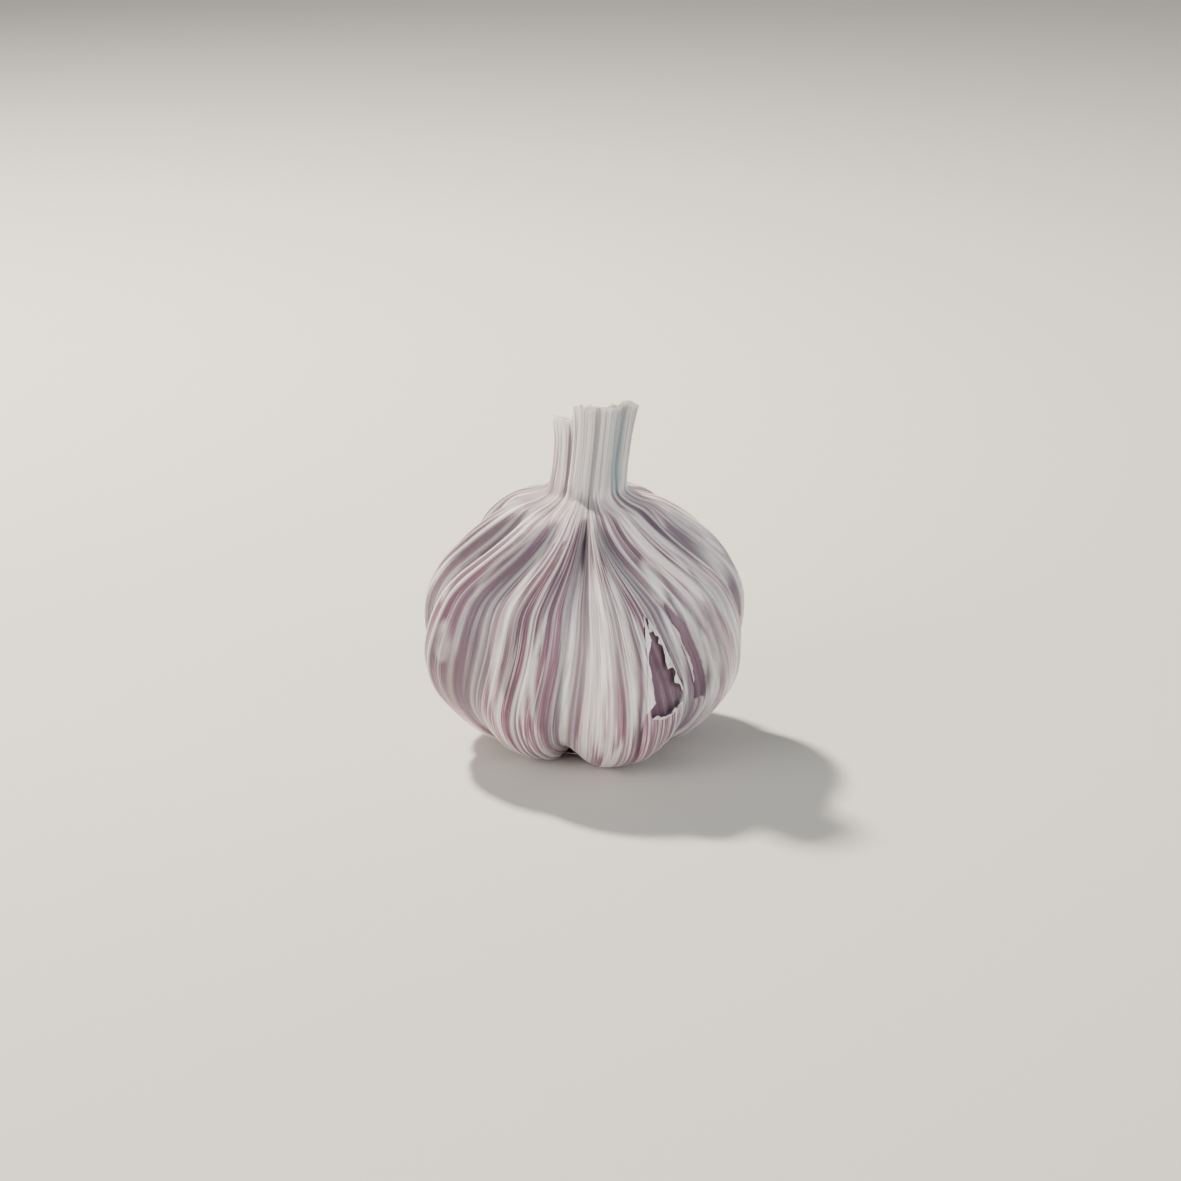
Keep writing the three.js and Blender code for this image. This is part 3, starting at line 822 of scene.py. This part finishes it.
# Thin pieces of skin that stand free. Each has its held edge, then the width and the curl across it, the way from
# the held edge to the free one (0 to the right round the bulb, 90 up) and how pale it is.
looseFlakes = {
    "flakes": [
        ([(21.8, 13.5), (21.6, 18), (21.5, 22), (21.6, 26), (22.6, 29.6)], 1.3, 1.5, 5, 0.9),
        ([(24.8, 29.0), (27, 27.6), (29, 25.8)], 1.9, 0.9, 225, 1.0),
        ([(29, 26), (31.6, 23.4), (33.2, 20.6)], 1.9, 0.9, 196, 0.9),
        ([(33, 22.2), (36.6, 19), (41, 15.8)], 1.6, 1.3, 205, 0.85),
        ([(25, 12.3), (31, 11.6), (36, 12.2), (41, 13.4)], 1.7, 1.3, 100, 0.9),
        ([(35, 27.6), (38, 24.2), (42, 20.2), (46, 16.4)], 0.5, 1.4, 30, 0.6),
        ([(154, 36.2), (158.6, 32.4), (162, 27.6), (166, 24.6), (170.6, 21)], 1.4, 0.2, 20, 0.8),
        ([(187.4, 30.4), (186.4, 26), (187.4, 20), (189, 17), (186, 12.8)], 1.1, 0.1, 170, 0.8),
        ([(-120, 27), (-116, 19), (-109, 11.6)], 1.5, 1.3, 20, 0.8),
        ([(84.8, 24.4), (87.4, 20.9), (91.8, 15.8), (95.2, 11.8), (98.2, 8.7)], 1.3, 1.3, 40, 0.8),
    ],
    "mesh": (44, 10),  # faces along and across each
    "clear": 0.04,  # how far the held edge lies above the skin
    "thickness": 0.1,
}


def buildFlakes():
    bm = bmesh.new()
    layers = newLayers(bm)
    along, over = looseFlakes["mesh"]
    for number, (path, wide, curled, toward, pale) in enumerate(looseFlakes["flakes"]):
        grid = bmesh.ops.create_grid(bm, x_segments=along, y_segments=over, size=0.5)
        toward = math.radians(toward)
        for vert in grid["verts"]:
            part, across = vert.co.x + 0.5, vert.co.y + 0.5
            azimuth, height = alongLine(path, part)
            seed = Vector((part * 3.2, number * 5.3, 0))
            ragged = 0.6 + 0.9 * noise.noise(seed * 0.9) + 0.3 * noise.noise(seed * 2.3) + 0.14 * noise.noise(seed * 9)
            width = wide * max(ragged, 0.12) * min(1, 9 * part, 9 * (1 - part)) ** 0.6
            curl = curled * (0.8 + 0.5 * noise.noise(seed * 1.7 + Vector((0, 0, 9))))
            reach = width * math.sin(curl * across) / curl
            lift = width * (1 - math.cos(curl * across)) / curl + looseFlakes["clear"]
            radius = outlineAt(round(height, 2))[0]
            azimuth += math.degrees(reach * math.cos(toward) / radius)
            height += reach * math.sin(toward)
            radius = outlineAt(round(height, 2))[0]
            vert.co, facts = skinPoint(azimuth, radius, height, lift, onOuterSkin=True)
            writeLayers(vert, layers, {**facts, "bloom": pale, "furrow": 0, "bare": 0})
    piece = finishPiece(bm, "loose_flakes", skinMaterial, looseFlakes["thickness"])


# Torn ends of the skins round the hollow underneath, each as radius and height of the held edge and of the free
# one, how far it bows down between them, and a shift that makes its tears its own.
skinEnds = {
    "sheets": [((9.5, 1.0), (7.3, 1.1), 0.5, 0), ((9.0, 2.2), (6.9, 2.3), 0.4, 30)],
    "mesh": (300, 8),  # faces round the bulb and across the sheet
    "lowest": 0.15,
    "thickness": 0.1,
}


def buildSkinEnds():
    bm = bmesh.new()
    layers = newLayers(bm)
    around, over = skinEnds["mesh"]
    for held, free, bow, shift in skinEnds["sheets"]:
        sheet = bmesh.ops.create_grid(bm, x_segments=around, y_segments=over, size=0.5)
        for vert in sheet["verts"]:
            azimuth, across = 360 * (vert.co.x + 0.5), vert.co.y + 0.5
            point = flowPoint(azimuth, 0, 9)
            long = 0.55 + 1.1 * stretched(point, 0.35, 0, shift) + 0.7 * stretched(point, 1.5, 0, shift)
            part = across * clamp(long, 0.08, 1.1)
            wave = 0.35 * stretched(point, 0.5, 0, shift + 5) * part
            radius = mix(held[0], free[0], part)
            height = mix(held[1], free[1], part) - bow * math.sin(math.pi * part) + wave
            vert.co = placeAt(azimuth, radius, max(height, skinEnds["lowest"]))
            writeLayers(vert, layers, {"flow": flowPoint(azimuth, -5 - radius), "bloom": 0.2 + 0.6 * part})
    bmesh.ops.remove_doubles(bm, verts=bm.verts, dist=1e-4)
    piece = finishPiece(bm, "skin_ends_underneath", skinMaterial, skinEnds["thickness"])


# Leaf sheaths rolled up inside the neck: outer radius, height of the cut end and azimuth where each roll starts.
sheathRolls = {
    "rolls": [(5.55, 58.4, -70), (4.75, 58.6, 130), (3.95, 58.7, 20), (3.1, 58.5, -140), (2.25, 58.3, 80),
              (1.45, 58.0, -20)],
    "wall": 0.24,
    "bottom": 48.8,
    "overlap": 50,  # degrees by which a roll passes its own start
    "tighten": 0.55,  # how much nearer the middle a roll ends than it starts
    "slant": 0.2,  # rise of the cut per millimetre toward the front
    "rows": 24,
}


def buildSheathRolls():
    bm = bmesh.new()
    layers = newLayers(bm)
    bottom, sweep = sheathRolls["bottom"], 360 + sheathRolls["overlap"]
    for number, (girth, top, start) in enumerate(sheathRolls["rolls"]):
        steps = max(40, int(26 * girth))
        sheet = bmesh.ops.create_grid(bm, x_segments=steps, y_segments=sheathRolls["rows"], size=0.5)
        for vert in sheet["verts"]:
            part, up = vert.co.x + 0.5, 1 - (0.5 - vert.co.y) ** 1.5
            height = mix(bottom, top, up)
            azimuth = start + part * sweep
            turn = math.radians(azimuth)
            point = flowPoint(azimuth, height, girth) + Vector((number * 7, 0, 0))
            high = ramp(height, bottom + 5, top)
            wave = 0.24 * stretched(point, 0.22, 0.04) + 0.08 * stretched(point, 0.7, 0.08) * high
            radius = girth - sheathRolls["tighten"] * part + wave * (1 + high) + 0.12 * high
            radius -= neckHollow(azimuth, height) * ramp(radius, 1, 6)
            across = radius * math.sin(turn)
            torn = 2.2 * (1 - ramp(across, -4.2, -2.6)) + 0.9 * hill(turnFrom(start, azimuth), 0, 25)
            ragged = 0.45 * stretched(point, 0.5, 0, 3) + 0.16 * stretched(point, 2.2, 0, 5)
            slanted = sheathRolls["slant"] * radius * math.cos(turn)
            height = min(height + (ragged - torn + slanted) * ramp(height, top - 5, top), bulbShape["highest"])
            vert.co = placeAt(azimuth, radius, height, middleOffset(height))
            # The rolls get a little painted shade, greyer, where they stand inside the neck.
            writeLayers(vert, layers, {"flow": flowPoint(azimuth, height, 3 * girth), "vein": 0.2,
                                       "neck": 1, "paintedShade": 0.2, "cut": ramp(up, 0.9, 1)})
    piece = finishPiece(bm, "rolled_sheaths", sheathMaterial, sheathRolls["wall"])
    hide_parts("inner_sheaths")


# The basal plate in the hollow under the cloves, and the trimmed roots that it carries.
rootPlate = {
    "profile": [(0.0, 2.9), (3.4, 3.1), (5.8, 3.6), (7.8, 4.6), (8.1, 6.3)],
    "stubs": 150,
    "thickness": 0.34,
    "length": 1.7,
}


def buildRootPlate():
    bm = bmesh.new()
    cut = bm.verts.layers.float.new("cut")
    line = throughPoints([(r, h, 0) for r, h in rootPlate["profile"]], 28)
    spunProfile(bm, [(p.x, p.y, zoneHollow) for p in line] + [(0, line[-1].y, zoneHollow)], 96)
    for vert in bm.verts:
        if vert.co.z < 5.9:
            rough = 0.22 * noise.noise(vert.co * 0.9) + 0.12 * noise.noise(vert.co * 2.6)
            rough += 0.1 * math.cos(vert.co.xy.length * 4.2)  # rings where older roots grew
            vert.co.z += rough
    stub = bmesh.new()  # one root, a unit long and thick, with three joints to bend at
    bmesh.ops.create_cone(stub, cap_ends=True, segments=7, radius1=0.7, radius2=1, depth=1)
    for height in (-0.25, 0, 0.25):
        bmesh.ops.bisect_plane(stub, geom=stub.verts[:] + stub.edges[:] + stub.faces[:], plane_co=(0, 0, height),
                               plane_no=(0, 0, 1))
    stubMesh = bpy.data.meshes.new("stub")
    stub.to_mesh(stubMesh)
    stub.free()
    random.seed(5)
    golden = math.pi * (3 - math.sqrt(5))
    for i in range(rootPlate["stubs"]):
        ring = math.sqrt((i + 0.5) / rootPlate["stubs"])
        length = rootPlate["length"] * random.uniform(0.5, 1.35) + 0.9
        girth = rootPlate["thickness"] * random.uniform(0.7, 1.25)
        bend = random.uniform(-0.35, 0.35)
        base = Vector((6.7 * ring, 0, 3.0 + 1.2 * ring ** 2.4))
        lean = Matrix.Rotation(0.55 * ring * random.uniform(0.2, 1.2), 4, "Y")
        spot = Matrix.Rotation(i * golden, 4, "Z")
        before = len(bm.verts)
        bm.from_mesh(stubMesh)
        bm.verts.ensure_lookup_table()
        cut = bm.verts.layers.float["cut"]
        for vert in bm.verts[before:]:
            down = (0.5 - vert.co.z) * length
            vert[cut] = 1.0 if vert.co.z < -0.49 else 0.0
            vert.co = Vector((girth * vert.co.x + bend * (down * 0.5) ** 2, girth * vert.co.y, 0.9 - down))
            vert.co = spot @ (lean @ vert.co + base)
            vert.co.z = max(vert.co.z, 0.3)
    bpy.data.meshes.remove(stubMesh)
    piece = finishPiece(bm, "root_tuft", rootMaterial)
    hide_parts("root_plate")


buildBulb()
buildFlakes()
buildSkinEnds()
buildSheathRolls()
buildRootPlate()


# The place it is shown in: a plain pale floor, a soft key light from behind on the left and broad fills.
showing = {
    "floor": "#cfccc5",  # matt pale paint, so that the floor takes soft shadows and no reflections
    "surround": "#e2e9ed",
    "surroundLight": 0.42,
    "camera": (0, -516.8, 188.1),
    "aim": (1.0, 0, 26.9),
    "lens": 97.3,
    "lamps": [  # name, direction it stands in, how far away and how wide in metres, watts, colour
        ("key", (-0.46, 0.56, 0.85), 0.8, 0.07, 18.5, "#fff3e4"),
        ("leftFill", (-1.0, -0.75, 0.5), 0.8, 0.5, 5.4, "#fff8f0"),
        ("frontFill", (0.85, -0.9, 0.1), 0.9, 0.9, 8.8, "#f6f8fc"),
    ],
}


def makeShowing():
    bm = bmesh.new()
    bmesh.ops.create_grid(bm, x_segments=2, y_segments=2, size=6)
    material, _, shader = newMaterial("matt_painted_board")
    shader.inputs["Base Color"].default_value = hexColour(showing["floor"])
    shader.inputs["Roughness"].default_value = 0.9
    newObject(bm, "floor", material)

    world = bpy.data.worlds.new("studio")
    bpy.context.scene.world = world
    world.use_nodes = True
    background = world.node_tree.nodes["Background"]
    background.inputs["Color"].default_value = hexColour(showing["surround"])
    background.inputs["Strength"].default_value = showing["surroundLight"]

    middle = Vector((0, 0, 28)) * mm
    for name, toward, away, size, watts, colour in showing["lamps"]:
        light = bpy.data.lights.new(name, "AREA")
        light.energy, light.size, light.color = watts, size, hexColour(colour)[:3]
        lamp = bpy.data.objects.new(name, light)
        way = Vector(toward).normalized()
        lamp.location = middle + way * away
        lamp.rotation_euler = way.to_track_quat("Z", "Y").to_euler()
        bpy.context.collection.objects.link(lamp)

    camera = bpy.data.objects.new("camera", bpy.data.cameras.new("camera"))
    camera.data.sensor_width = 36
    camera.data.lens = showing["lens"]
    camera.data.clip_start, camera.data.clip_end = 0.01, 20
    camera.location = Vector(showing["camera"]) * mm
    aim = Vector(showing["aim"]) * mm
    camera.rotation_euler = (camera.location - aim).to_track_quat("Z", "Y").to_euler()
    bpy.context.collection.objects.link(camera)
    bpy.context.scene.camera = camera
    print("floor, lights and camera ready")


makeShowing()
